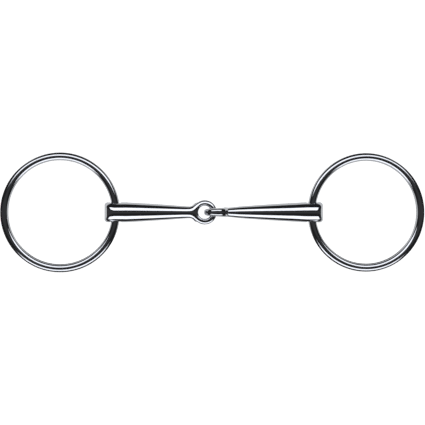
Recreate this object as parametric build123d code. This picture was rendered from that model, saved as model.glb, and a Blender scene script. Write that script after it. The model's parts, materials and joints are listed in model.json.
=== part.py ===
from build123d import *
import os
from math import asin, degrees, radians, sin, sqrt

# Loose-ring snaffle bit with a single-jointed mouthpiece, in millimetres.
# The bit lies at rest on a table: +X along the mouthpiece, +Z up, and the origin on the table
# under the middle of the whole bit. Two tapered cannons are linked eye through eye, the left eye
# lying flat and the right one standing on edge, and a loose ring runs through each butt.

# Mouthpiece
mouth_width = 125.0  # from ring hole to ring hole, with the mouthpiece straight
joint_offset = 2.4  # how far the link stands to the left of the middle of the mouth
butt_d = 13.0  # the round butt that the ring passes through
butt_end_wall = 3.7  # metal round the ring hole where the butt ends
butt_edge_r = 2.0  # rounding between the butt's side and its end
butt_straight = 4.0  # parallel length of the butt past the ring hole's axis
neck_d = 7.2  # round neck behind the eye, on a cannon of middle length
barrel_swell = 0.15  # how far the barrel stands out beyond a straight taper

# Linked eyes
eye_bar_w = 3.8  # width of the metal round the eye's hole
eye_tip_t = 4.4  # thickness of the eye at its far end
eye_mid_t = 5.3  # thickness of the eye across its centre
eye_stretch = 1.2  # how far the eye's outline is drawn out towards the neck
eye_play = 1.8  # room beside the other eye's metal in the eye's hole
eye_rounding = 0.92  # share of the metal's narrower half that its rounded edges take
link_slack = 0.8  # end play of one eye in the other
link_drop = 0.5  # how far the flat eye may hang below the middle of the standing eye
shoulder_len = 10.5  # from the neck to the eye's centre
shoulder_r = 3.5  # hollow between the neck and the eye's outline
shank_inset = 0.2  # how far the eye's flat shank stays inside the round neck
nose_start = 2.3  # where the barrel starts to close, past the neck
nose_gap = 1.0  # metal between the barrel's closed end and the eye's hole

# Rings
ring_outer_d = 76.0
ring_bar_d = 5.2
ring_hole_play = 0.4  # room round the ring's bar in the butt's hole
ring_hole_edge_r = 0.6  # rounding of the hole's mouths

# Worked out from the sizes above
butt_r = butt_d / 2
ring_bar_r = ring_bar_d / 2
ring_line_r = ring_outer_d / 2 - ring_bar_r
ring_bow = ring_line_r - sqrt(ring_line_r**2 - butt_r**2)  # bend of the ring across the butt
ring_arm = ring_line_r - ring_bow / 2  # from the hole's axis to the ring's centre
ring_hole_r = ring_bar_r + ring_bow / 2 + ring_hole_play
butt_overhang = ring_hole_r + butt_end_wall
butt_foot = sqrt(butt_overhang**2 - butt_r**2)  # from the hole's axis to where the butt's end starts

eye_hole_r = eye_tip_t / 2 + eye_play
eye_outer_r = eye_hole_r + eye_bar_w
eye_edge_r = eye_rounding * min(eye_bar_w, eye_tip_t) / 2
eye_thinning = (eye_mid_t - eye_tip_t) / 2 / eye_outer_r  # slope of each flat of the eye
link_pitch = 2 * eye_hole_r - link_slack
mean_reach = (mouth_width - link_pitch) / 2
left_reach = mean_reach - joint_offset
right_reach = mean_reach + joint_offset
barrel_taper = (butt_d - neck_d) / 2 / (mean_reach - shoulder_len - butt_straight)

right_eye_z = max(butt_r, eye_outer_r)
left_eye_z = max(butt_r, right_eye_z - link_drop)
tool_len = 2 * mouth_width  # longer than anything it cuts


def barrel_r(x):
    """Radius of the straight taper at a distance from the ring hole's axis."""
    return butt_r - barrel_taper * (x - butt_straight)


def barrel(reach):
    """The round part of a cannon: butt, tapered barrel and the neck's closed end."""
    nose_x = reach - shoulder_len + nose_start
    nose_r = barrel_r(nose_x)
    nose_len = reach - eye_hole_r - nose_gap - nose_x
    middle_x = (butt_straight + nose_x) / 2
    end_x = -2 * butt_overhang
    side = Line((end_x, butt_r), (butt_straight, butt_r))
    taper = ThreePointArc(side @ 1, (middle_x, barrel_r(middle_x) + barrel_swell), (nose_x, nose_r))
    nose = EllipticalCenterArc((nose_x, 0), nose_len, nose_r, start_angle=0, arc_size=90)
    axis = Line(nose @ 0, (end_x, 0))
    end_face = Line(axis @ 1, side @ 0)
    profile = make_face(Wire([side, taper, nose, axis, end_face]))
    return revolve(profile, Axis.X)


def rounded_end(bar):
    """Rounds the butt's end about the ring hole's axis, and the edge that this leaves."""
    wanted = Rot(X=90) * Cylinder(butt_overhang, tool_len)
    wanted += Pos(tool_len / 2, 0) * Box(tool_len, tool_len, tool_len)
    ended = bar & wanted
    return fillet(new_edges(bar, combined=ended), butt_edge_r)


def eye_outline(reach):
    """The eye and its shoulders seen face on, with a shank that runs back inside the neck."""
    shank_half = barrel_r(reach - shoulder_len) - shank_inset
    loop = Pos(reach - eye_stretch / 2, 0) * SlotCenterToCenter(eye_stretch, 2 * eye_outer_r)
    shank = Pos(reach - shoulder_len, 0) * Rectangle(shoulder_len, 2 * shank_half)
    outline = loop + shank
    hollows = outline.vertices().filter_by_position(Axis.X, reach - shoulder_len, reach - eye_hole_r)
    return fillet(hollows, shoulder_r)


def eye_sides(reach):
    """The eye seen edge on: a wedge that thins towards its tip."""
    root_x = reach - 2 * shoulder_len
    tip_x = reach + 2 * eye_outer_r
    root_half = eye_mid_t / 2 + eye_thinning * (reach - root_x)
    tip_half = eye_mid_t / 2 - eye_thinning * (tip_x - reach)
    corners = [(root_x, -root_half), (tip_x, -tip_half), (tip_x, tip_half), (root_x, root_half)]
    return make_face(Polyline(*corners, close=True))


def flat_eye(reach):
    """The forged eye, lying flat, with its edges rounded and its hole through it."""
    plate = extrude(eye_outline(reach), tool_len, both=True)
    blank = plate & extrude(Plane.XZ * eye_sides(reach), tool_len, both=True)
    flats = blank.faces().sort_by(Axis.Z)
    blank = fillet(flats[0].edges() + flats[-1].edges(), eye_edge_r)
    eye = blank - Pos(reach, 0) * Cylinder(eye_hole_r, tool_len)
    hole_rims = new_edges(blank, combined=eye).filter_by(GeomType.ELLIPSE)
    return fillet(hole_rims, eye_edge_r)


def cannon(reach, eye_turn):
    """A cannon along +X, its ring hole's axis on Y at the origin and its eye turned about X."""
    forging = rounded_end(barrel(reach)) + Rot(X=eye_turn) * flat_eye(reach)
    drilled = forging - Rot(X=90) * Cylinder(ring_hole_r, tool_len)
    mouths = new_edges(forging, combined=drilled).filter_by(GeomType.LINE, reverse=True)
    return fillet(mouths, ring_hole_edge_r)


def ring():
    """One ring, lying flat, with its hole in the butt at the origin and its centre on +X."""
    return Pos(ring_arm, 0) * Torus(ring_line_r, ring_bar_r)


def tilt(eye_z, reach):
    """Degrees that lift an eye to its height, with the cannon standing on the end of its butt."""
    return degrees(asin((eye_z - butt_r) / (reach + butt_foot)))


def hole_z(tilt_angle):
    """Height of the ring hole in a cannon that is tilted by so many degrees."""
    return butt_r + butt_foot * sin(radians(tilt_angle))


def droop(ring_hole_z):
    """Degrees that a ring hangs from its hole until its far side touches the table."""
    return degrees(asin((ring_hole_z - ring_bar_r) / (ring_arm + ring_line_r)))


left_tilt = tilt(left_eye_z, left_reach)
right_tilt = tilt(right_eye_z, right_reach)
left_hole_z = hole_z(left_tilt)
right_hole_z = hole_z(right_tilt)

left_hole = Pos(-mouth_width / 2, 0, left_hole_z)
right_hole = Pos(mouth_width / 2, 0, right_hole_z) * Rot(Z=180)

parts = {
    "left_cannon": left_hole * Rot(Y=-left_tilt) * cannon(left_reach, eye_turn=0),
    "right_cannon": right_hole * Rot(Y=-right_tilt) * cannon(right_reach, eye_turn=90),
    "left_ring": left_hole * Rot(Z=180) * Rot(Y=droop(left_hole_z)) * ring(),
    "right_ring": right_hole * Rot(Z=180) * Rot(Y=droop(right_hole_z)) * ring(),
}

os.makedirs("parts", exist_ok=True)
for name, solid in parts.items():
    export_step(solid, f"parts/{name}.step")
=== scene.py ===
"""A loose-ring snaffle bit in polished stainless steel, lying at rest on a pale table.

Each half of the mouthpiece is one smooth skin worked out from its sizes, so the barrel, the
shoulders, the eye and the ring hole's mouths run into each other as on a forging. The rings are
bars swept round a circle. All lengths are in metres.
"""
import json
import logging
import math
from abc import ABC, abstractmethod
from dataclasses import dataclass
from enum import Enum
from typing import Any, Callable

import bmesh
import bpy
import numpy as np
from mathutils import Matrix, Vector


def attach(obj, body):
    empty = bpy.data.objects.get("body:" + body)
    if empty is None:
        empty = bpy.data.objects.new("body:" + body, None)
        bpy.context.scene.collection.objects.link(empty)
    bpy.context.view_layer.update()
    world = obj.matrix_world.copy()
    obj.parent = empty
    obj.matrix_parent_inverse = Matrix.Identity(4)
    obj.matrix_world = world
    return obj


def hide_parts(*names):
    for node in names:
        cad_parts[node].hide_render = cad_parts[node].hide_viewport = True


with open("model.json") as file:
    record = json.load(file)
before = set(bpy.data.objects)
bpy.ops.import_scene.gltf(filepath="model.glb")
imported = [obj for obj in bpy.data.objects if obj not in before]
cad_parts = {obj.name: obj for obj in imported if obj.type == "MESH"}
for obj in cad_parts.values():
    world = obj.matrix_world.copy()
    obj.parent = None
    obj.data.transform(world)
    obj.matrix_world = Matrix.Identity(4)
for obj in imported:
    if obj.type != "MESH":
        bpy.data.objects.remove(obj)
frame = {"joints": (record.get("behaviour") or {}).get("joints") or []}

log = logging.getLogger("snaffle")
MM = 0.001
NEARLY_ALONG = 0.995  # cosine above which two normals count as one

Field = Callable[[np.ndarray], np.ndarray]


# ---------------------------------------------------------------- shader building


class Value:
    """A shader socket that takes part in Python expressions; each operation adds its node."""

    def __init__(self, tree: "Shader", socket: bpy.types.NodeSocket) -> None:
        """Wraps one output socket of a tree."""
        self.tree = tree
        self.socket = socket

    def _math(self, operation: str, *terms: Any) -> "Value":
        """Adds one Math node.

        Args:
            operation: The Math node's operation.
            terms: Numbers or wrapped sockets, in the node's order.

        Returns:
            The node's result.
        """
        return self.tree.node("ShaderNodeMath", {"operation": operation}, dict(enumerate(terms)))

    def __add__(self, other: Any) -> "Value":
        """Sum."""
        return self._math("ADD", self, other)

    __radd__ = __add__

    def __sub__(self, other: Any) -> "Value":
        """Difference."""
        return self._math("SUBTRACT", self, other)

    def __rsub__(self, other: Any) -> "Value":
        """Difference from a number."""
        return self._math("SUBTRACT", other, self)

    def __mul__(self, other: Any) -> "Value":
        """Product."""
        return self._math("MULTIPLY", self, other)

    __rmul__ = __mul__

    def __truediv__(self, other: Any) -> "Value":
        """Quotient."""
        return self._math("DIVIDE", self, other)

    def __abs__(self) -> "Value":
        """Size without its sign."""
        return self._math("ABSOLUTE", self)

    def atan2(self, other: Any) -> "Value":
        """Angle in radians of the point (other, self)."""
        return self._math("ARCTAN2", self, other)

    def step(self, low: float, high: float) -> "Value":
        """Smooth step from 0 at low to 1 at high; low may be the greater."""
        settings = {"interpolation_type": "SMOOTHSTEP", "clamp": True}
        if low <= high:
            inputs = {"Value": self, "From Min": low, "From Max": high}
            return self.tree.node("ShaderNodeMapRange", settings, inputs)
        inputs = {"Value": self, "From Min": high, "From Max": low, "To Min": 1.0, "To Max": 0.0}
        return self.tree.node("ShaderNodeMapRange", settings, inputs)


class Shader:
    """A node tree under construction."""

    def __init__(self, tree: bpy.types.NodeTree) -> None:
        """Empties the tree and takes it over."""
        self.tree = tree
        tree.nodes.clear()

    def node(self, kind: str, settings: dict[str, Any], inputs: dict[Any, Any], out: Any = 0) -> Value:
        """Adds any node.

        Args:
            kind: The node's type.
            settings: Properties, set before any socket.
            inputs: Numbers, tuples or wrapped sockets by socket name or index.
            out: Name or index of the output that is wanted.

        Returns:
            The wanted output.
        """
        made = self.tree.nodes.new(kind)
        for key, value in settings.items():
            setattr(made, key, value)
        for key, value in inputs.items():
            socket = made.inputs[key]
            if isinstance(value, Value):
                self.tree.links.new(value.socket, socket)
            else:
                socket.default_value = value
        outputs = made.outputs
        return Value(self, outputs[out]) if len(outputs) else Value(self, None)

    def mix(self, factor: Any, a: Any, b: Any) -> Value:
        """Mixes two colours through a Mix node."""
        settings = {"data_type": "RGBA", "clamp_factor": True}
        return self.node("ShaderNodeMix", settings, {0: factor, 6: a, 7: b}, out=2)

    def place(self, centre: Vector, turn: tuple[float, float, float]) -> Value:
        """Object coordinates brought to a piece's own centre and turn."""
        seat = self.node("ShaderNodeTexCoord", {}, {}, out="Object")
        moved = self.node("ShaderNodeVectorMath", {"operation": "SUBTRACT"}, {0: seat, 1: tuple(centre)})
        return self.node("ShaderNodeMapping", {"vector_type": "POINT"}, {"Vector": moved, "Rotation": turn})

    def split(self, vector: Value) -> tuple[Value, Value, Value]:
        """The three parts of a vector."""
        parts = self.node("ShaderNodeSeparateXYZ", {}, {0: vector}, out=0)
        outputs = parts.socket.node.outputs
        return Value(self, outputs[0]), Value(self, outputs[1]), Value(self, outputs[2])

    def join(self, x: Any, y: Any, z: Any) -> Value:
        """A vector from three values."""
        return self.node("ShaderNodeCombineXYZ", {}, {0: x, 1: y, 2: z})

    def noise(self, vector: Value, scale: float, detail: float = 2.0, roughness: float = 0.5) -> Value:
        """Fractal noise round 0.5."""
        inputs = {"Vector": vector, "Scale": scale, "Detail": detail, "Roughness": roughness}
        return self.node("ShaderNodeTexNoise", {"noise_dimensions": "3D"}, inputs, out=0)


Coordinates = Callable[[Shader], Value]


# ---------------------------------------------------------------- finishes


@dataclass(frozen=True)
class PolishedSteel:
    """Buffed stainless steel that has been handled but hardly worn."""

    slot: str
    bright: tuple[float, float, float] = (0.77, 0.78, 0.80)
    deep: tuple[float, float, float] = (0.70, 0.71, 0.74)
    buffed: float = 0.045
    rubbed: float = 0.26
    haze: float = 0.07
    line_pitch: float = 0.22 * MM
    line_length: float = 5.0 * MM
    line_depth: float = 0.0028 * MM

    def material(self, name: str, along: Coordinates, cloud: Coordinates) -> bpy.types.Material:
        """Makes the material for one piece.

        Args:
            name: The material's name.
            along: Gives coordinates in metres with X along the direction of buffing.
            cloud: Gives plain coordinates in metres.

        Returns:
            The material.
        """
        steel = bpy.data.materials.new(name)
        steel.use_nodes = True
        tree = Shader(steel.node_tree)
        lay = along(tree)
        plain = cloud(tree)
        stretch = (1 / self.line_length, 1 / self.line_pitch, 1 / self.line_pitch)
        buffing = tree.node("ShaderNodeVectorMath", {"operation": "MULTIPLY"}, {0: lay, 1: stretch})
        lines = tree.noise(buffing, 1.0, 3.0, 0.6)
        smear = tree.noise(plain, 1 / (6 * MM), 3.0, 0.55)
        grain = tree.noise(plain, 1 / (0.35 * MM), 2.0, 0.5)
        nicks = self._nicks(tree, plain)
        rub = tree.node("ShaderNodeAttribute", {"attribute_name": "rub"}, {}, out="Fac")
        worn = rub * (0.65 + lines * 0.7)
        veil = smear.step(0.42, 0.72)
        colour = tree.mix(lines.step(0.3, 0.7) * 0.5 + veil * 0.4, (*self.bright, 1.0), (*self.deep, 1.0))
        colour = tree.mix(worn * 0.5, colour, (0.62, 0.61, 0.60, 1.0))
        rough = self.buffed + veil * self.haze + lines.step(0.55, 0.8) * 0.03 + nicks * 0.16
        rough = rough + worn * (self.rubbed - self.buffed)
        height = lines * (0.6 + veil * 0.4) + grain * (0.08 + worn * 0.8) - nicks * 0.9
        relief = {"Strength": 1.0, "Distance": self.line_depth, "Height": height}
        bump = tree.node("ShaderNodeBump", {}, relief)
        shell = {"Base Color": colour, "Metallic": 1.0, "Roughness": rough, "Normal": bump}
        surface = tree.node("ShaderNodeBsdfPrincipled", {}, shell)
        tree.node("ShaderNodeOutputMaterial", {}, {"Surface": surface})
        return steel

    @staticmethod
    def _nicks(tree: Shader, plain: Value) -> Value:
        """Sparse hairline scratches that cross the buffing in three directions."""
        total: Any = 0.0
        for index, (turn, shift) in enumerate(((0.5, 3.1), (-0.8, 11.7), (1.9, 23.9))):
            slant = (turn * 0.6, turn * 0.3, turn)
            move = (shift * MM,) * 3
            turned = tree.node("ShaderNodeMapping", {"vector_type": "POINT"},
                               {"Vector": plain, "Rotation": slant, "Location": move})
            hair = tree.node("ShaderNodeVectorMath", {"operation": "MULTIPLY"},
                             {0: turned, 1: (1 / (7 * MM), 1 / (0.5 * MM), 1 / (0.5 * MM))})
            ridge = abs(tree.noise(hair, 1.0, 1.0, 0.4) - 0.5)
            patch = tree.noise(turned, 1 / (4.5 * MM), 1.0, 0.5)
            total = ridge.step(0.006, 0.0) * patch.step(0.56 + 0.02 * index, 0.68) + total
        return total


# ---------------------------------------------------------------- skins from a rule


def round_cut(a: np.ndarray, b: np.ndarray, radius: Any, lean: Any = 0.0) -> np.ndarray:
    """Depth field of what lies inside both a and b, its edges rounded.

    Args:
        a: Signed distance, negative inside.
        b: Signed distance, negative inside.
        radius: Radius of the rounded edge.
        lean: Cosine of the angle between the two surfaces' normals.

    Returns:
        The rounded field.
    """
    up, over = a + radius, b + radius
    lean = np.minimum(lean, NEARLY_ALONG)
    between = (up > over * lean) & (over > up * lean)
    square = (up**2 + over**2 - 2 * up * over * lean) / (1 - lean**2)
    return np.where(between, np.sqrt(np.maximum(square, 0.0)) - radius, np.maximum(a, b))


def oval(across: np.ndarray, through: np.ndarray, wide: Any, thick: Any,
         flank: float = 2.0) -> np.ndarray:
    """Depth of an oval section, or of one with fuller flanks.

    Args:
        across: Distance from its middle along its width.
        through: Distance from its middle along its thickness.
        wide: Half its width.
        thick: Half its thickness.
        flank: Power of the thickness, 2 for an ellipse and more for upright flanks.

    Returns:
        Near the section's edge, the signed distance.
    """
    s, t = np.abs(across / wide), np.abs(through / thick)
    excess = s**2 + t**flank - 1
    slope = np.hypot(2 * s / wide, flank * t ** (flank - 1) / thick) + 1.0
    return excess / slope


def round_join(a: np.ndarray, b: np.ndarray, radius: Any) -> np.ndarray:
    """Depth field of what lies inside a or b, with a hollow of that radius between them."""
    outer = np.maximum(np.minimum(a - radius, b - radius), 0.0)
    return outer - np.hypot(np.minimum(a - radius, 0.0), np.minimum(b - radius, 0.0)) + radius


@dataclass(frozen=True)
class Skinner:
    """Turns a depth field into an even closed mesh that lies exactly on its zero."""

    cell: float = 0.24 * MM
    relaxings: int = 5
    probe: float = 0.004 * MM

    def skin(self, field: Field, low: np.ndarray,
             high: np.ndarray) -> tuple[np.ndarray, np.ndarray, np.ndarray]:
        """Meshes the field's zero inside a box.

        Args:
            field: Signed distance of points in rows, negative inside.
            low: The box's lowest corner.
            high: The box's highest corner.

        Returns:
            Points, quads as rows of four indices, and the outward normal at each point.
        """
        axes = [np.arange(a, b + self.cell, self.cell) for a, b in zip(low, high)]
        shape = tuple(len(axis) for axis in axes)
        grid = np.stack(np.meshgrid(*axes, indexing="ij"), -1).reshape(-1, 3)
        depth = field(grid).reshape(shape)
        points, cells = self._cell_points(depth, axes)
        quads = self._quads(depth, cells)
        for _ in range(4):
            points = self._settle(field, points)
        for _ in range(self.relaxings):
            points = self._even_out(field, points, quads)
            points = self._settle(field, points)
        points = self._settle(field, points)
        slope = self._slope(field, points)
        return points, quads, slope / np.linalg.norm(slope, axis=1, keepdims=True)

    @staticmethod
    def _cell_points(depth: np.ndarray, axes: list[np.ndarray]) -> tuple[np.ndarray, np.ndarray]:
        """Puts one point in each cell that the surface crosses.

        Args:
            depth: The field at the grid's corners.
            axes: The grid's positions along each axis.

        Returns:
            The points, and each cell's point index, or -1.
        """
        inside = depth < 0
        counted = np.zeros(tuple(n - 1 for n in depth.shape), np.int32)
        corners = [(i, j, k) for i in (0, 1) for j in (0, 1) for k in (0, 1)]
        size = counted.shape

        def at(array: np.ndarray, corner: tuple[int, int, int]) -> np.ndarray:
            """One corner of every cell."""
            i, j, k = corner
            return array[i:i + size[0], j:j + size[1], k:k + size[2]]

        for corner in corners:
            counted += at(inside, corner)
        active = np.argwhere((counted > 0) & (counted < 8))
        cells = np.full(size, -1, np.int64)
        cells[tuple(active.T)] = np.arange(len(active))
        total = np.zeros((len(active), 3))
        crossings = np.zeros(len(active))
        for first in corners:
            for axis in range(3):
                if first[axis]:
                    continue
                second = tuple(1 if n == axis else c for n, c in enumerate(first))
                a = depth[tuple((active + first).T)]
                b = depth[tuple((active + second).T)]
                crossed = (a < 0) != (b < 0)
                share = np.where(crossed, a / np.where(crossed, a - b, 1.0), 0.0)
                spot = active + np.array(first, float)
                spot[:, axis] += share
                total += np.where(crossed[:, None], spot, 0.0)
                crossings += crossed
        spots = total / crossings[:, None]
        step = np.array([axis[1] - axis[0] for axis in axes])
        start = np.array([axis[0] for axis in axes])
        return start + spots * step, cells

    @staticmethod
    def _quads(depth: np.ndarray, cells: np.ndarray) -> np.ndarray:
        """Joins the four cells round each crossed grid edge into an outward quad."""
        inside = depth < 0
        found = []
        for axis in range(3):
            one, two = (axis + 1) % 3, (axis + 2) % 3
            near = np.take(inside, range(depth.shape[axis] - 1), axis)
            far = np.take(inside, range(1, depth.shape[axis]), axis)
            edges = np.argwhere(near != far)
            keep = (edges[:, one] > 0) & (edges[:, two] > 0)
            keep &= (edges[:, one] < depth.shape[one] - 1) & (edges[:, two] < depth.shape[two] - 1)
            edges = edges[keep]
            leaving = near[tuple(edges.T)]
            ring = []
            for back_one, back_two in ((1, 1), (0, 1), (0, 0), (1, 0)):
                cell = edges.copy()
                cell[:, one] -= back_one
                cell[:, two] -= back_two
                ring.append(cells[tuple(cell.T)])
            quad = np.stack(ring, 1)
            found.append(np.where(leaving[:, None], quad, quad[:, ::-1]))
        return np.concatenate(found)

    def _slope(self, field: Field, points: np.ndarray) -> np.ndarray:
        """The field's gradient at each point."""
        parts = []
        for axis in range(3):
            shift = np.zeros(3)
            shift[axis] = self.probe
            parts.append((field(points + shift) - field(points - shift)) / (2 * self.probe))
        return np.stack(parts, 1)

    def _settle(self, field: Field, points: np.ndarray) -> np.ndarray:
        """Moves points along the gradient onto the field's zero."""
        slope = self._slope(field, points)
        steep = np.maximum((slope**2).sum(1), 0.04)
        move = np.clip(field(points) / steep, -self.cell, self.cell)
        return points - slope * move[:, None]

    def _even_out(self, field: Field, points: np.ndarray, quads: np.ndarray) -> np.ndarray:
        """Slides points along the surface towards the middle of their neighbours."""
        total = np.zeros_like(points)
        count = np.zeros(len(points))
        for step in (1, 3):
            other = np.roll(quads, step, axis=1)
            for axis in range(3):
                total[:, axis] += np.bincount(quads.ravel(), points[other.ravel(), axis], len(points))
            count += np.bincount(quads.ravel(), minlength=len(points))
        move = total / count[:, None] - points
        slope = self._slope(field, points)
        normal = slope / np.linalg.norm(slope, axis=1, keepdims=True)
        return points + 0.6 * (move - normal * (move * normal).sum(1)[:, None])


# ---------------------------------------------------------------- the bit's pieces


class Side(Enum):
    """Which end of the mouthpiece a piece belongs to; the value is its sign along X."""

    LEFT = -1
    RIGHT = 1


class EyeTurn(Enum):
    """How a cannon's eye lies; the value is its turn about the cannon, in degrees."""

    FLAT = 0
    UPRIGHT = 90


@dataclass(frozen=True)
class Bit:
    """The sizes that the pieces share."""

    butt_d: float = 13.0 * MM
    butt_end_wall: float = 3.7 * MM
    butt_edge_r: float = 2.0 * MM
    ring_outer_d: float = 76.0 * MM
    ring_bar_d: float = 5.2 * MM
    ring_hole_play: float = 0.4 * MM

    @property
    def line_r(self) -> float:
        """Radius of the ring's centre line."""
        return (self.ring_outer_d - self.ring_bar_d) / 2

    @property
    def bow(self) -> float:
        """How far the ring bends across the butt."""
        return self.line_r - math.sqrt(self.line_r**2 - (self.butt_d / 2) ** 2)

    @property
    def arm(self) -> float:
        """From the hole's axis to the ring's centre."""
        return self.line_r - self.bow / 2

    @property
    def hole_r(self) -> float:
        """Radius of the hole that the ring runs through."""
        return self.ring_bar_d / 2 + self.bow / 2 + self.ring_hole_play

    @property
    def overhang(self) -> float:
        """From the hole's axis to the butt's end face."""
        return self.hole_r + self.butt_end_wall


class Piece(ABC):
    """A piece of the bit that takes the place of one CAD node."""

    node: str
    finish: PolishedSteel

    @abstractmethod
    def seat(self) -> Matrix:
        """Where the piece's own frame lies in the bit."""

    @abstractmethod
    def shape(self) -> bpy.types.Mesh:
        """Makes the piece's mesh in place, its material included."""

    def build(self) -> bpy.types.Object:
        """Makes the piece and hands it to the frame.

        Returns:
            The finished object.
        """
        made = bpy.data.objects.new(f"{self.node}_steel", self.shape())
        bpy.context.scene.collection.objects.link(made)
        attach(made, self.node)
        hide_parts(self.node)
        log.info("%s: %d faces", made.name, len(made.data.polygons))
        return made


def swing_pivot(side: Side) -> Vector:
    """The middle of a butt's ring hole, from the frame's joints."""
    name = f"{side.name.lower()}_ring_swing"
    joint = next(j for j in frame["joints"] if j["name"] == name)
    return Vector(joint["pos_m"])


@dataclass
class LooseRing(Piece):
    """A round bar bent to a ring, butt-welded and dressed flush."""

    side: Side
    bit: Bit
    finish: PolishedSteel
    turns: int = 540
    facets: int = 72
    weld_angle: float = 62.0
    weld_half: float = 1.1 * MM
    weld_dip: float = 0.035 * MM

    @property
    def node(self) -> str:
        """The CAD node that the ring stands for."""
        return f"{self.side.name.lower()}_ring"

    def seat(self) -> Matrix:
        """The ring's centre, its plane drooping from the butt to the table."""
        pivot = swing_pivot(self.side)
        drop = pivot.z - self.bit.ring_bar_d / 2
        droop = math.asin(drop / (self.bit.arm + self.bit.line_r))
        outward = 0.0 if self.side is Side.RIGHT else math.pi
        turn = Matrix.Rotation(outward, 4, "Z") @ Matrix.Rotation(droop, 4, "Y")
        return Matrix.Translation(pivot) @ turn @ Matrix.Translation((self.bit.arm, 0, 0))

    def _sweep(self, steel: bpy.types.Material) -> bpy.types.GeometryNodeTree:
        """The tree that sweeps the bar round the ring and dips it at the weld.

        Args:
            steel: The ring's material.

        Returns:
            The node tree, with the ring's sizes as named inputs.
        """
        tree = bpy.data.node_groups.new("loose_ring", "GeometryNodeTree")
        kinds = {"Line Radius": "NodeSocketFloat", "Bar Radius": "NodeSocketFloat", "Turns": "NodeSocketInt",
                 "Facets": "NodeSocketInt", "Weld Angle": "NodeSocketFloat", "Weld Half": "NodeSocketFloat",
                 "Weld Dip": "NodeSocketFloat", "Steel": "NodeSocketMaterial"}
        for label, kind in kinds.items():
            tree.interface.new_socket(label, in_out="INPUT", socket_type=kind)
        tree.interface.new_socket("Geometry", in_out="OUTPUT", socket_type="NodeSocketGeometry")
        build = Shader(tree)
        sizes = build.node("NodeGroupInput", {}, {}).socket.node.outputs
        size = {label: Value(build, sizes[label]) for label in kinds}
        path = build.node("GeometryNodeCurvePrimitiveCircle", {"mode": "RADIUS"},
                          {"Resolution": size["Turns"], "Radius": size["Line Radius"]})
        section = build.node("GeometryNodeCurvePrimitiveCircle", {"mode": "RADIUS"},
                             {"Resolution": size["Facets"], "Radius": size["Bar Radius"]})
        bar = build.node("GeometryNodeCurveToMesh", {}, {"Curve": path, "Profile Curve": section})
        spot = build.node("GeometryNodeInputPosition", {}, {})
        x, y, _ = build.split(spot)
        angle = y.atan2(x)
        along = abs(angle - size["Weld Angle"]) * size["Line Radius"]
        near = along / size["Weld Half"]
        mark = build.node("ShaderNodeMath", {"operation": "EXPONENT"}, {0: near * near * -1.0})
        normal = build.node("GeometryNodeInputNormal", {}, {})
        depth = mark * size["Weld Dip"] * -1.0
        dip = build.node("ShaderNodeVectorMath", {"operation": "SCALE"}, {0: normal, "Scale": depth})
        dressed = build.node("GeometryNodeSetPosition", {}, {"Geometry": bar, "Offset": dip})
        stored = build.node("GeometryNodeStoreNamedAttribute", {"data_type": "FLOAT", "domain": "POINT"},
                            {"Geometry": dressed, "Name": "rub", "Value": mark * 0.35})
        smooth = build.node("GeometryNodeSetShadeSmooth", {}, {"Geometry": stored})
        real = build.node("GeometryNodeRealizeInstances", {}, {"Geometry": smooth})
        clad = build.node("GeometryNodeSetMaterial", {}, {"Geometry": real, "Material": size["Steel"]})
        build.node("NodeGroupOutput", {}, {"Geometry": clad})
        return tree

    def _steel(self) -> bpy.types.Material:
        """The ring's material, buffed along the bar."""
        seat = self.seat()
        turn = tuple(seat.to_3x3().transposed().to_euler())
        radius = self.bit.line_r

        def along(tree: Shader) -> Value:
            """Distance round the ring, then across the bar."""
            x, y, z = tree.split(tree.place(seat.translation, turn))
            reach = tree.node("ShaderNodeMath", {"operation": "SQRT"}, {0: x * x + y * y})
            return tree.join(y.atan2(x) * radius, reach - radius, z)

        def cloud(tree: Shader) -> Value:
            """The ring's own frame."""
            return tree.place(seat.translation, turn)

        return self.finish.material(f"{self.node}_polish", along, cloud)

    def shape(self) -> bpy.types.Mesh:
        """Evaluates the sweep and sets it in place."""
        holder = bpy.data.objects.new("ring_sweep", bpy.data.meshes.new("ring_sweep"))
        bpy.context.scene.collection.objects.link(holder)
        steel = self._steel()
        sweep = holder.modifiers.new("sweep", "NODES")
        sweep.node_group = self._sweep(steel)
        given = {"Line Radius": self.bit.line_r, "Bar Radius": self.bit.ring_bar_d / 2,
                 "Turns": self.turns, "Facets": self.facets,
                 "Weld Angle": math.radians(self.weld_angle), "Weld Half": self.weld_half,
                 "Weld Dip": self.weld_dip, "Steel": steel}
        for item in sweep.node_group.interface.items_tree:
            if item.in_out == "INPUT":
                sweep[item.identifier] = given[item.name]
        shown = holder.evaluated_get(bpy.context.evaluated_depsgraph_get())
        mesh = bpy.data.meshes.new_from_object(shown)
        mesh.name = self.node
        bpy.data.objects.remove(holder)
        mesh.transform(self.seat())
        face_outwards(mesh)
        return mesh


def face_outwards(mesh: bpy.types.Mesh) -> None:
    """Turns every face of a closed mesh outwards."""
    work = bmesh.new()
    work.from_mesh(mesh)
    bmesh.ops.recalc_face_normals(work, faces=work.faces)
    work.to_mesh(mesh)
    work.free()


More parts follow.
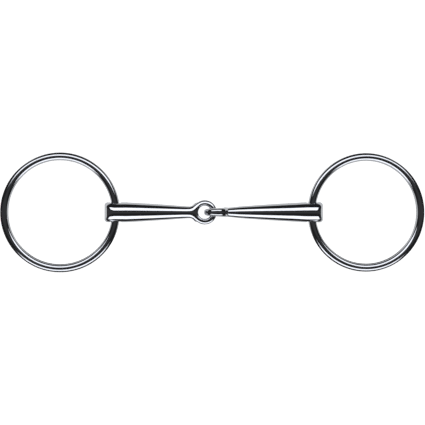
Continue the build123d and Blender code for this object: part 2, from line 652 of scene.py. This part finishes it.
@dataclass
class Cannon(Piece):
    """One half of the mouthpiece: butt, tapered barrel, shoulders and linked eye."""

    side: Side
    turn: EyeTurn
    bit: Bit
    finish: PolishedSteel
    reach: float
    eye_z: float
    neck_d: float = 7.2 * MM
    butt_straight: float = 4.0 * MM
    mean_reach: float = 58.9 * MM
    barrel_swell: float = 0.15 * MM
    eye_bar_w: float = 3.8 * MM
    eye_hole_r: float = 4.0 * MM
    eye_tip_t: float = 4.4 * MM
    eye_mid_t: float = 5.3 * MM
    eye_stretch: float = 1.2 * MM
    bead_r: float = 0.9 * MM
    bead_onset: float = 1.4
    bead_flank: float = 3.0
    crest_shift: float = 0.7 * MM
    shaft_sink: float = 0.35
    shoulder_len: float = 10.5 * MM
    shoulder_r: float = 3.5 * MM
    neck_lead: float = 5.0 * MM
    neck_tail: float = 2.5 * MM
    mouth_r: float = 0.6 * MM
    end_start: float = 2.0 * MM
    end_softening: float = 2.0

    @property
    def node(self) -> str:
        """The CAD node that the cannon stands for."""
        return f"{self.side.name.lower()}_cannon"

    @property
    def taper(self) -> float:
        """How fast the barrel's radius falls."""
        length = self.mean_reach - self.shoulder_len - self.butt_straight
        return (self.bit.butt_d - self.neck_d) / 2 / length

    def seat(self) -> Matrix:
        """The ring hole's middle, with X towards the eye."""
        pivot = swing_pivot(self.side)
        tilt = math.asin((self.eye_z - pivot.z) / self.reach)
        inward = 0.0 if self.side is Side.LEFT else math.pi
        return Matrix.Translation(pivot) @ Matrix.Rotation(inward, 4, "Z") @ Matrix.Rotation(-tilt, 4, "Y")

    def _barrel_r(self, x: np.ndarray) -> np.ndarray:
        """Radius of the barrel at a distance from the ring hole's axis."""
        start, soft = self.butt_straight, 1.5 * MM
        run = x - start
        fall = (run + np.sqrt(run**2 + soft**2)) / 2
        length = self.reach - self.shoulder_len + 2.3 * MM - start
        share = np.clip(run / length, 0.0, 1.0)
        swell = 4 * self.barrel_swell * share * (1 - share)
        return self.bit.butt_d / 2 - self.taper * fall + swell * share.clip(0, 0.2) * 5

    def _plan(self, x: np.ndarray) -> np.ndarray:
        """Half width of the cannon seen on its eye's face, from the butt to past the shoulders."""
        outer = self.eye_hole_r + self.eye_bar_w
        centre = self.reach - self.eye_stretch
        half = float(self._barrel_r(np.array([self.reach - self.shoulder_len]))[0])
        span = math.sqrt((outer + self.shoulder_r) ** 2 - (half + self.shoulder_r) ** 2)
        hollow_x = centre - span
        touch_x = centre - span * outer / (outer + self.shoulder_r)
        soft = 1.0 * MM
        kept = hollow_x - soft * np.log1p(np.exp(np.clip((hollow_x - x) / soft, -40, 40)))
        into = np.clip(x - hollow_x, 0.0, touch_x - hollow_x)
        neck = self._barrel_r(kept) - float(self._barrel_r(np.array([hollow_x]))[0]) + half
        hollow = neck + self.shoulder_r - np.sqrt(self.shoulder_r**2 - into**2)
        fade = np.clip((x - touch_x) / (self.reach - touch_x), 0.0, 1.0)
        loop = np.sqrt(np.maximum(outer**2 - np.minimum(x - centre, 0.0) ** 2, 0.0))
        return np.where(x < touch_x, hollow, loop * (1 - self.shaft_sink * fade * fade * (3 - 2 * fade)))

    def _thick(self, x: np.ndarray) -> np.ndarray:
        """Half thickness through the eye, which tapers on from the barrel to the tip."""
        outer = self.eye_hole_r + self.eye_bar_w
        thinning = (self.eye_mid_t - self.eye_tip_t) / 2 / outer
        wedge = self.eye_mid_t / 2 - thinning * (x - self.reach)
        neck_x = self.reach - self.shoulder_len
        share = np.clip((x - neck_x + self.neck_lead) / (self.neck_lead + self.neck_tail), 0.0, 1.0)
        share = share * share * (3 - 2 * share)
        return self._barrel_r(x) * (1 - share) + wedge * share

    def _body(self, x: np.ndarray, v: np.ndarray, w: np.ndarray) -> np.ndarray:
        """Depth of the cannon before its ring hole is drilled.

        The round barrel widens into flattened shoulders, and the bar of the eye runs round its
        hole as a bead that rises out of them.

        Args:
            x: Distance from the ring hole's axis.
            v: Distance across the eye's face.
            w: Distance through the eye's thickness.

        Returns:
            The field.
        """
        thick = self._thick(x)
        line_r = self.eye_hole_r + self.eye_bar_w / 2
        out = np.hypot(x - self.reach, v)
        shaft = np.maximum(oval(v, w, self._plan(x), thick), x - self.reach)
        shaft = np.maximum(shaft, line_r - out)
        crest_r = line_r - self.crest_shift
        side = np.where(out > crest_r, self.crest_shift, -self.crest_shift)
        half = self.eye_bar_w / 2 + side
        bead = oval(out - crest_r, w, half, thick, self.bead_flank)
        return round_join(shaft, bead, self.bead_r * np.clip(self.bead_onset * np.abs(w) / thick, 0.02, 1.0))

    def _end(self, x: np.ndarray, y: np.ndarray, z: np.ndarray) -> tuple[np.ndarray, np.ndarray]:
        """The butt's end, an oval seen along the ring hole.

        Args:
            x: Distance from the ring hole's axis.
            y: Distance along that axis.
            z: Height over it.

        Returns:
            Depth from the end, and the cosine of the angle between its normal and the barrel's.
        """
        high = self.bit.overhang
        long = high + self.end_start
        s, t = (x - self.end_start) / long, z / high
        spread = np.hypot(s, t) + 1e-9
        slope = np.hypot(s / long, t / high) / spread + 1e-9
        lean = np.abs(t / high / spread / slope * z) / (np.hypot(y, z) + 1e-9)
        before = x < self.end_start
        depth = np.where(before, (spread - 1) / slope, np.abs(z) - high - 2 * (x - self.end_start))
        return depth, np.where(before, lean, NEARLY_ALONG)

    def field(self, points: np.ndarray) -> np.ndarray:
        """Depth of the whole cannon in its own frame.

        Args:
            points: Points in rows, X from the ring hole towards the eye.

        Returns:
            Signed distance, negative inside the metal.
        """
        x, y, z = points.T
        v, w = (y, z) if self.turn is EyeTurn.FLAT else (z, -y)
        end, lean = self._end(x, y, z)
        rise = np.clip(np.abs(z) / self.bit.butt_d * 2, 0, 1)
        edge_r = self.bit.butt_edge_r * (1.0 + self.end_softening * rise)
        solid = round_cut(self._body(x, v, w), end, edge_r, lean)
        return round_cut(solid, self.bit.hole_r - np.hypot(x, z), self.mouth_r)

    def _rub(self, points: np.ndarray) -> np.ndarray:
        """How much each point is rubbed by its neighbour, from 0 to 1."""
        x, y, z = points.T
        v, w = (y, z) if self.turn is EyeTurn.FLAT else (z, -y)
        mouth = np.exp(-((np.hypot(x, z) - self.bit.hole_r) / (0.5 * MM)) ** 2)
        bore = 0.8 * (np.hypot(x, z) < self.bit.hole_r + 0.15 * MM)
        seat = np.hypot(x - self.reach, v) - self.eye_hole_r
        bearing = np.exp(-(seat / (0.8 * MM)) ** 2) * np.exp(-(v / (3.0 * MM)) ** 2) * (x > self.reach)
        ring = np.clip(np.maximum(0.55 * mouth, bore), 0, 1) * (np.abs(x) < 2 * self.bit.hole_r)
        return np.clip(np.maximum(ring, 0.7 * bearing), 0.0, 1.0)

    def _steel(self) -> bpy.types.Material:
        """The cannon's material, buffed along the barrel."""
        seat = self.seat()
        turn = tuple(seat.to_3x3().transposed().to_euler())

        def own(tree: Shader) -> Value:
            """The cannon's own frame."""
            return tree.place(seat.translation, turn)

        return self.finish.material(f"{self.node}_polish", own, own)

    def shape(self) -> bpy.types.Mesh:
        """Skins the field and sets it in place."""
        wide = max(self.bit.butt_d / 2, self.eye_hole_r + self.eye_bar_w) + 0.8 * MM
        low = np.array([-self.bit.overhang - 1.2 * MM, -wide, -wide])
        high = np.array([self.reach + self.eye_hole_r + self.eye_bar_w + 1.0 * MM, wide, wide])
        points, quads, normals = Skinner().skin(self.field, low, high)
        mesh = bpy.data.meshes.new(self.node)
        mesh.from_pydata(points.tolist(), [], quads.tolist())
        mark = mesh.attributes.new("rub", "FLOAT", "POINT")
        mark.data.foreach_set("value", self._rub(points).astype(np.float32))
        mesh.materials.append(self._steel())
        seat = self.seat()
        mesh.transform(seat)
        mesh.shade_smooth()
        turn = np.array(seat.to_3x3())
        mesh.normals_split_custom_set_from_vertices((normals @ turn.T).tolist())
        mesh.validate()
        return mesh


# ---------------------------------------------------------------- the studio


@dataclass(frozen=True)
class Band:
    """A strip of the surroundings that runs parallel to the mouthpiece.

    Its angles are measured from straight up, positive towards +Y.
    """

    start: float
    end: float
    level: float
    reach: float = 0.9
    edge: float = 1.5


@dataclass(frozen=True)
class Studio:
    """Two long soft boxes over a pale table in a dark room."""

    bands: tuple[Band, ...] = (
        Band(22.0, 53.0, 1.5, 0.70),
        Band(-84.0, -46.0, 1.5, 0.70),
        Band(-12.0, 10.0, 0.028, 2.0, 8.0),
    )
    dark: float = 0.016
    tint: tuple[float, float, float] = (0.97, 0.99, 1.04)
    table_half: float = 2.5
    clearance: float = 0.2 * MM
    sheet_x: tuple[float, float] = (-128 * MM, 128 * MM)
    sheet_y: tuple[float, float] = (-19 * MM, 46 * MM)
    sheet_level: float = 0.62
    sheet_fade: float = 5 * MM

    def room(self) -> None:
        """Makes the world that the steel mirrors."""
        world = bpy.data.worlds.new("studio")
        bpy.context.scene.world = world
        world.use_nodes = True
        tree = Shader(world.node_tree)
        x, y, z = tree.split(tree.node("ShaderNodeTexCoord", {}, {}, out="Generated"))
        angle = y.atan2(z) * (180 / math.pi)
        total: Any = self.dark
        for band in self.bands:
            inside = angle.step(band.start - band.edge, band.start + band.edge)
            inside = inside * angle.step(band.end + band.edge, band.end - band.edge)
            ends = abs(x).step(band.reach + 0.06, band.reach - 0.06) if band.reach < 1.0 else 1.0
            total = inside * ends * band.level + total
        light = tree.node("ShaderNodeBackground", {}, {"Color": (*self.tint, 1.0), "Strength": total})
        tree.node("ShaderNodeOutputWorld", {}, {"Surface": light})

    def _plane(self, name: str) -> bpy.types.Mesh:
        """A square as large as the table."""
        half = self.table_half
        corners = [(-half, -half, 0), (half, -half, 0), (half, half, 0), (-half, half, 0)]
        mesh = bpy.data.meshes.new(name)
        mesh.from_pydata(corners, [], [(0, 1, 2, 3)])
        return mesh

    def table(self) -> None:
        """Makes the pale table that the camera sees; the sheet stands for it in reflections."""
        mesh = self._plane("table")
        pale = bpy.data.materials.new("pale_table")
        pale.use_nodes = True
        tree = Shader(pale.node_tree)
        matt = tree.node("ShaderNodeBsdfDiffuse", {}, {"Color": (0.9, 0.9, 0.9, 1.0)})
        glow = tree.node("ShaderNodeEmission", {}, {"Color": (1.0, 1.0, 1.0, 1.0), "Strength": 0.88})
        both = tree.node("ShaderNodeAddShader", {}, {0: matt, 1: glow})
        tree.node("ShaderNodeOutputMaterial", {}, {"Surface": both})
        mesh.materials.append(pale)
        table = bpy.data.objects.new("table", mesh)
        table.location.z = -self.clearance
        table.visible_glossy = False
        bpy.context.scene.collection.objects.link(table)

    def sheet(self) -> None:
        """Makes the lit part of the table that the steel mirrors; the rest mirrors as dark."""
        mesh = self._plane("sheet")
        lit = bpy.data.materials.new("lit_sheet")
        lit.use_nodes = True
        tree = Shader(lit.node_tree)
        x, y, _ = tree.split(tree.node("ShaderNodeTexCoord", {}, {}, out="Object"))
        total: Any = self.sheet_level
        for value, (low, high) in ((x, self.sheet_x), (y, self.sheet_y)):
            total = value.step(low - self.sheet_fade, low + self.sheet_fade) * total
            total = value.step(high + self.sheet_fade, high - self.sheet_fade) * total
        light = {"Color": (0.98, 0.99, 1.0, 1.0), "Strength": total + self.dark}
        glow = tree.node("ShaderNodeEmission", {}, light)
        tree.node("ShaderNodeOutputMaterial", {}, {"Surface": glow})
        mesh.materials.append(lit)
        sheet = bpy.data.objects.new("sheet", mesh)
        sheet.location.z = -2 * self.clearance
        sheet.visible_camera = False
        sheet.visible_diffuse = False
        sheet.visible_shadow = False
        bpy.context.scene.collection.objects.link(sheet)

    def camera(self, height: float = 0.9, aside: float = -46.3 * MM,
               turn: float = 2.9) -> None:
        """Looks down on the bit, from a little to its left.

        Args:
            height: Height of the lens above the table.
            aside: Where the lens stands along X from the bit's middle.
            turn: Degrees that the lens turns about Y to face the bit's middle.
        """
        lens = bpy.data.cameras.new("overhead")
        lens.sensor_width = 36.0
        lens.lens = 119.3
        lens.clip_end = 20.0
        camera = bpy.data.objects.new("overhead", lens)
        camera.location = (aside, -0.14 * MM, height)
        camera.rotation_euler = (0.0, -math.radians(turn), 0.0)
        bpy.context.scene.collection.objects.link(camera)
        bpy.context.scene.camera = camera
        bpy.context.scene.view_settings.view_transform = "Standard"


def main() -> None:
    """Builds the bit, the studio and the camera."""
    logging.basicConfig(level=logging.INFO, format="%(name)s: %(message)s")
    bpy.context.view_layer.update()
    bit = Bit()
    cannon_steel = PolishedSteel("mouthpiece_steel")
    ring_steel = PolishedSteel("ring_steel", bright=(0.74, 0.75, 0.77), deep=(0.66, 0.67, 0.70), haze=0.09)
    pieces = [
        Cannon(Side.LEFT, EyeTurn.FLAT, bit, cannon_steel, reach=56.5 * MM, eye_z=7.3 * MM),
        Cannon(Side.RIGHT, EyeTurn.UPRIGHT, bit, cannon_steel, reach=61.3 * MM, eye_z=7.8 * MM,
               eye_stretch=0.0, shoulder_r=2.5 * MM),
        LooseRing(Side.LEFT, bit, ring_steel),
        LooseRing(Side.RIGHT, bit, ring_steel),
    ]
    for piece in pieces:
        piece.build()
    studio = Studio()
    studio.room()
    studio.table()
    studio.sheet()
    studio.camera()


if __name__ == "__main__":
    main()
